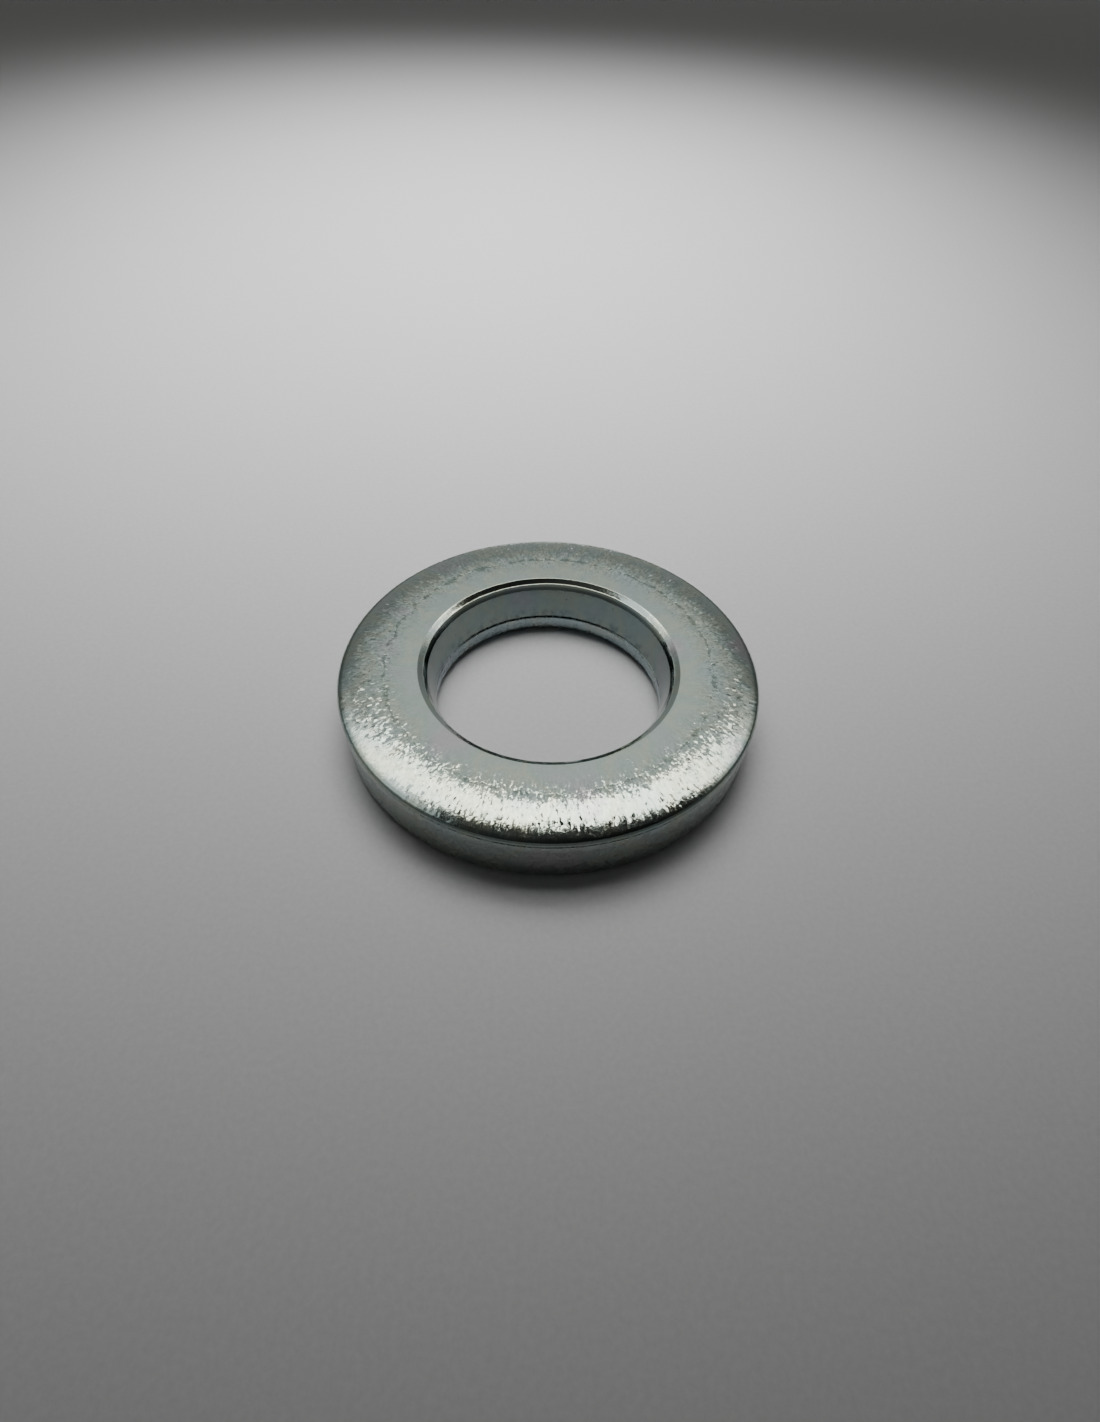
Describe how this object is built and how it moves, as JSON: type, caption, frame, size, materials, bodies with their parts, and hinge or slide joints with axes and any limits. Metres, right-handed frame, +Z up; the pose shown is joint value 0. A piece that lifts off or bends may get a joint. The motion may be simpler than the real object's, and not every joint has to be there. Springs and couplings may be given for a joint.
{
  "type": "thrust ball bearing",
  "caption": "Thin shrouded thrust ball bearing: two pressed zinc-plated shells turn on a caged ring of balls to carry an axial load on a shaft.",
  "frame": {"origin": "centre of the bottom face, on the shaft axis", "axes": "+Z up the shaft axis, from the fixed lower shell to the turning upper shell"},
  "size_m": [0.0466, 0.0466, 0.0072],
  "materials": {
    "cap_plate": "bright zinc plate with a pale blue-white passivate, fine scratches",
    "housing_plate": "duller zinc plate with a pale blue-white passivate",
    "race_steel": "hardened and ground steel, lightly greased",
    "cage_steel": "pressed bare steel strip",
    "ball_steel": "polished bearing steel"
  },
  "bodies": {
    "housing": {"lower_housing": "housing_plate", "lower_race": "race_steel"},
    "cap": {"top_cap": "cap_plate", "upper_race": "race_steel"},
    "cage": {"ball_cage": "cage_steel"},
    "ball_01_body": {"ball_01": "ball_steel"},
    "ball_02_body": {"ball_02": "ball_steel"},
    "ball_03_body": {"ball_03": "ball_steel"},
    "ball_04_body": {"ball_04": "ball_steel"},
    "ball_05_body": {"ball_05": "ball_steel"},
    "ball_06_body": {"ball_06": "ball_steel"},
    "ball_07_body": {"ball_07": "ball_steel"},
    "ball_08_body": {"ball_08": "ball_steel"},
    "ball_09_body": {"ball_09": "ball_steel"},
    "ball_10_body": {"ball_10": "ball_steel"},
    "ball_11_body": {"ball_11": "ball_steel"},
    "ball_12_body": {"ball_12": "ball_steel"},
    "ball_13_body": {"ball_13": "ball_steel"},
    "ball_14_body": {"ball_14": "ball_steel"},
    "ball_15_body": {"ball_15": "ball_steel"},
    "ball_16_body": {"ball_16": "ball_steel"},
    "ball_17_body": {"ball_17": "ball_steel"},
    "ball_18_body": {"ball_18": "ball_steel"},
    "ball_19_body": {"ball_19": "ball_steel"},
    "ball_20_body": {"ball_20": "ball_steel"}
  },
  "joints": [
    {"name": "cap_turn", "type": "hinge", "parent": "housing", "child": "cap", "pos_m": [0, 0, 0], "axis": [0, 0, 1], "continuous": true},
    {"name": "cage_orbit", "type": "hinge", "parent": "housing", "child": "cage", "pos_m": [0, 0, 0], "axis": [0, 0, 1], "continuous": true},
    {"name": "ball_01_roll", "type": "hinge", "parent": "cage", "child": "ball_01_body", "pos_m": [0.01815, 0, 0.00363], "axis": [1, 0, 0], "continuous": true},
    {"name": "ball_02_roll", "type": "hinge", "parent": "cage", "child": "ball_02_body", "pos_m": [0.01726, 0.00561, 0.00363], "axis": [0.9511, 0.309, 0], "continuous": true},
    {"name": "ball_03_roll", "type": "hinge", "parent": "cage", "child": "ball_03_body", "pos_m": [0.01468, 0.01067, 0.00363], "axis": [0.809, 0.5878, 0], "continuous": true},
    {"name": "ball_04_roll", "type": "hinge", "parent": "cage", "child": "ball_04_body", "pos_m": [0.01067, 0.01468, 0.00363], "axis": [0.5878, 0.809, 0], "continuous": true},
    {"name": "ball_05_roll", "type": "hinge", "parent": "cage", "child": "ball_05_body", "pos_m": [0.00561, 0.01726, 0.00363], "axis": [0.309, 0.9511, 0], "continuous": true},
    {"name": "ball_06_roll", "type": "hinge", "parent": "cage", "child": "ball_06_body", "pos_m": [0, 0.01815, 0.00363], "axis": [0, 1, 0], "continuous": true},
    {"name": "ball_07_roll", "type": "hinge", "parent": "cage", "child": "ball_07_body", "pos_m": [-0.00561, 0.01726, 0.00363], "axis": [-0.309, 0.9511, 0], "continuous": true},
    {"name": "ball_08_roll", "type": "hinge", "parent": "cage", "child": "ball_08_body", "pos_m": [-0.01067, 0.01468, 0.00363], "axis": [-0.5878, 0.809, 0], "continuous": true},
    {"name": "ball_09_roll", "type": "hinge", "parent": "cage", "child": "ball_09_body", "pos_m": [-0.01468, 0.01067, 0.00363], "axis": [-0.809, 0.5878, 0], "continuous": true},
    {"name": "ball_10_roll", "type": "hinge", "parent": "cage", "child": "ball_10_body", "pos_m": [-0.01726, 0.00561, 0.00363], "axis": [-0.9511, 0.309, 0], "continuous": true},
    {"name": "ball_11_roll", "type": "hinge", "parent": "cage", "child": "ball_11_body", "pos_m": [-0.01815, 0, 0.00363], "axis": [-1, 0, 0], "continuous": true},
    {"name": "ball_12_roll", "type": "hinge", "parent": "cage", "child": "ball_12_body", "pos_m": [-0.01726, -0.00561, 0.00363], "axis": [-0.9511, -0.309, 0], "continuous": true},
    {"name": "ball_13_roll", "type": "hinge", "parent": "cage", "child": "ball_13_body", "pos_m": [-0.01468, -0.01067, 0.00363], "axis": [-0.809, -0.5878, 0], "continuous": true},
    {"name": "ball_14_roll", "type": "hinge", "parent": "cage", "child": "ball_14_body", "pos_m": [-0.01067, -0.01468, 0.00363], "axis": [-0.5878, -0.809, 0], "continuous": true},
    {"name": "ball_15_roll", "type": "hinge", "parent": "cage", "child": "ball_15_body", "pos_m": [-0.00561, -0.01726, 0.00363], "axis": [-0.309, -0.9511, 0], "continuous": true},
    {"name": "ball_16_roll", "type": "hinge", "parent": "cage", "child": "ball_16_body", "pos_m": [0, -0.01815, 0.00363], "axis": [0, -1, 0], "continuous": true},
    {"name": "ball_17_roll", "type": "hinge", "parent": "cage", "child": "ball_17_body", "pos_m": [0.00561, -0.01726, 0.00363], "axis": [0.309, -0.9511, 0], "continuous": true},
    {"name": "ball_18_roll", "type": "hinge", "parent": "cage", "child": "ball_18_body", "pos_m": [0.01067, -0.01468, 0.00363], "axis": [0.5878, -0.809, 0], "continuous": true},
    {"name": "ball_19_roll", "type": "hinge", "parent": "cage", "child": "ball_19_body", "pos_m": [0.01468, -0.01067, 0.00363], "axis": [0.809, -0.5878, 0], "continuous": true},
    {"name": "ball_20_roll", "type": "hinge", "parent": "cage", "child": "ball_20_body", "pos_m": [0.01726, -0.00561, 0.00363], "axis": [0.9511, -0.309, 0], "continuous": true}
  ],
  "couplings": [
    {"joint": "cage_orbit", "follows": "cap_turn", "ratio": 0.5},
    {"joint": "ball_01_roll", "follows": "cap_turn", "ratio": -4.5729},
    {"joint": "ball_02_roll", "follows": "cap_turn", "ratio": -4.5729},
    {"joint": "ball_03_roll", "follows": "cap_turn", "ratio": -4.5729},
    {"joint": "ball_04_roll", "follows": "cap_turn", "ratio": -4.5729},
    {"joint": "ball_05_roll", "follows": "cap_turn", "ratio": -4.5729},
    {"joint": "ball_06_roll", "follows": "cap_turn", "ratio": -4.5729},
    {"joint": "ball_07_roll", "follows": "cap_turn", "ratio": -4.5729},
    {"joint": "ball_08_roll", "follows": "cap_turn", "ratio": -4.5729},
    {"joint": "ball_09_roll", "follows": "cap_turn", "ratio": -4.5729},
    {"joint": "ball_10_roll", "follows": "cap_turn", "ratio": -4.5729},
    {"joint": "ball_11_roll", "follows": "cap_turn", "ratio": -4.5729},
    {"joint": "ball_12_roll", "follows": "cap_turn", "ratio": -4.5729},
    {"joint": "ball_13_roll", "follows": "cap_turn", "ratio": -4.5729},
    {"joint": "ball_14_roll", "follows": "cap_turn", "ratio": -4.5729},
    {"joint": "ball_15_roll", "follows": "cap_turn", "ratio": -4.5729},
    {"joint": "ball_16_roll", "follows": "cap_turn", "ratio": -4.5729},
    {"joint": "ball_17_roll", "follows": "cap_turn", "ratio": -4.5729},
    {"joint": "ball_18_roll", "follows": "cap_turn", "ratio": -4.5729},
    {"joint": "ball_19_roll", "follows": "cap_turn", "ratio": -4.5729},
    {"joint": "ball_20_roll", "follows": "cap_turn", "ratio": -4.5729}
  ]
}
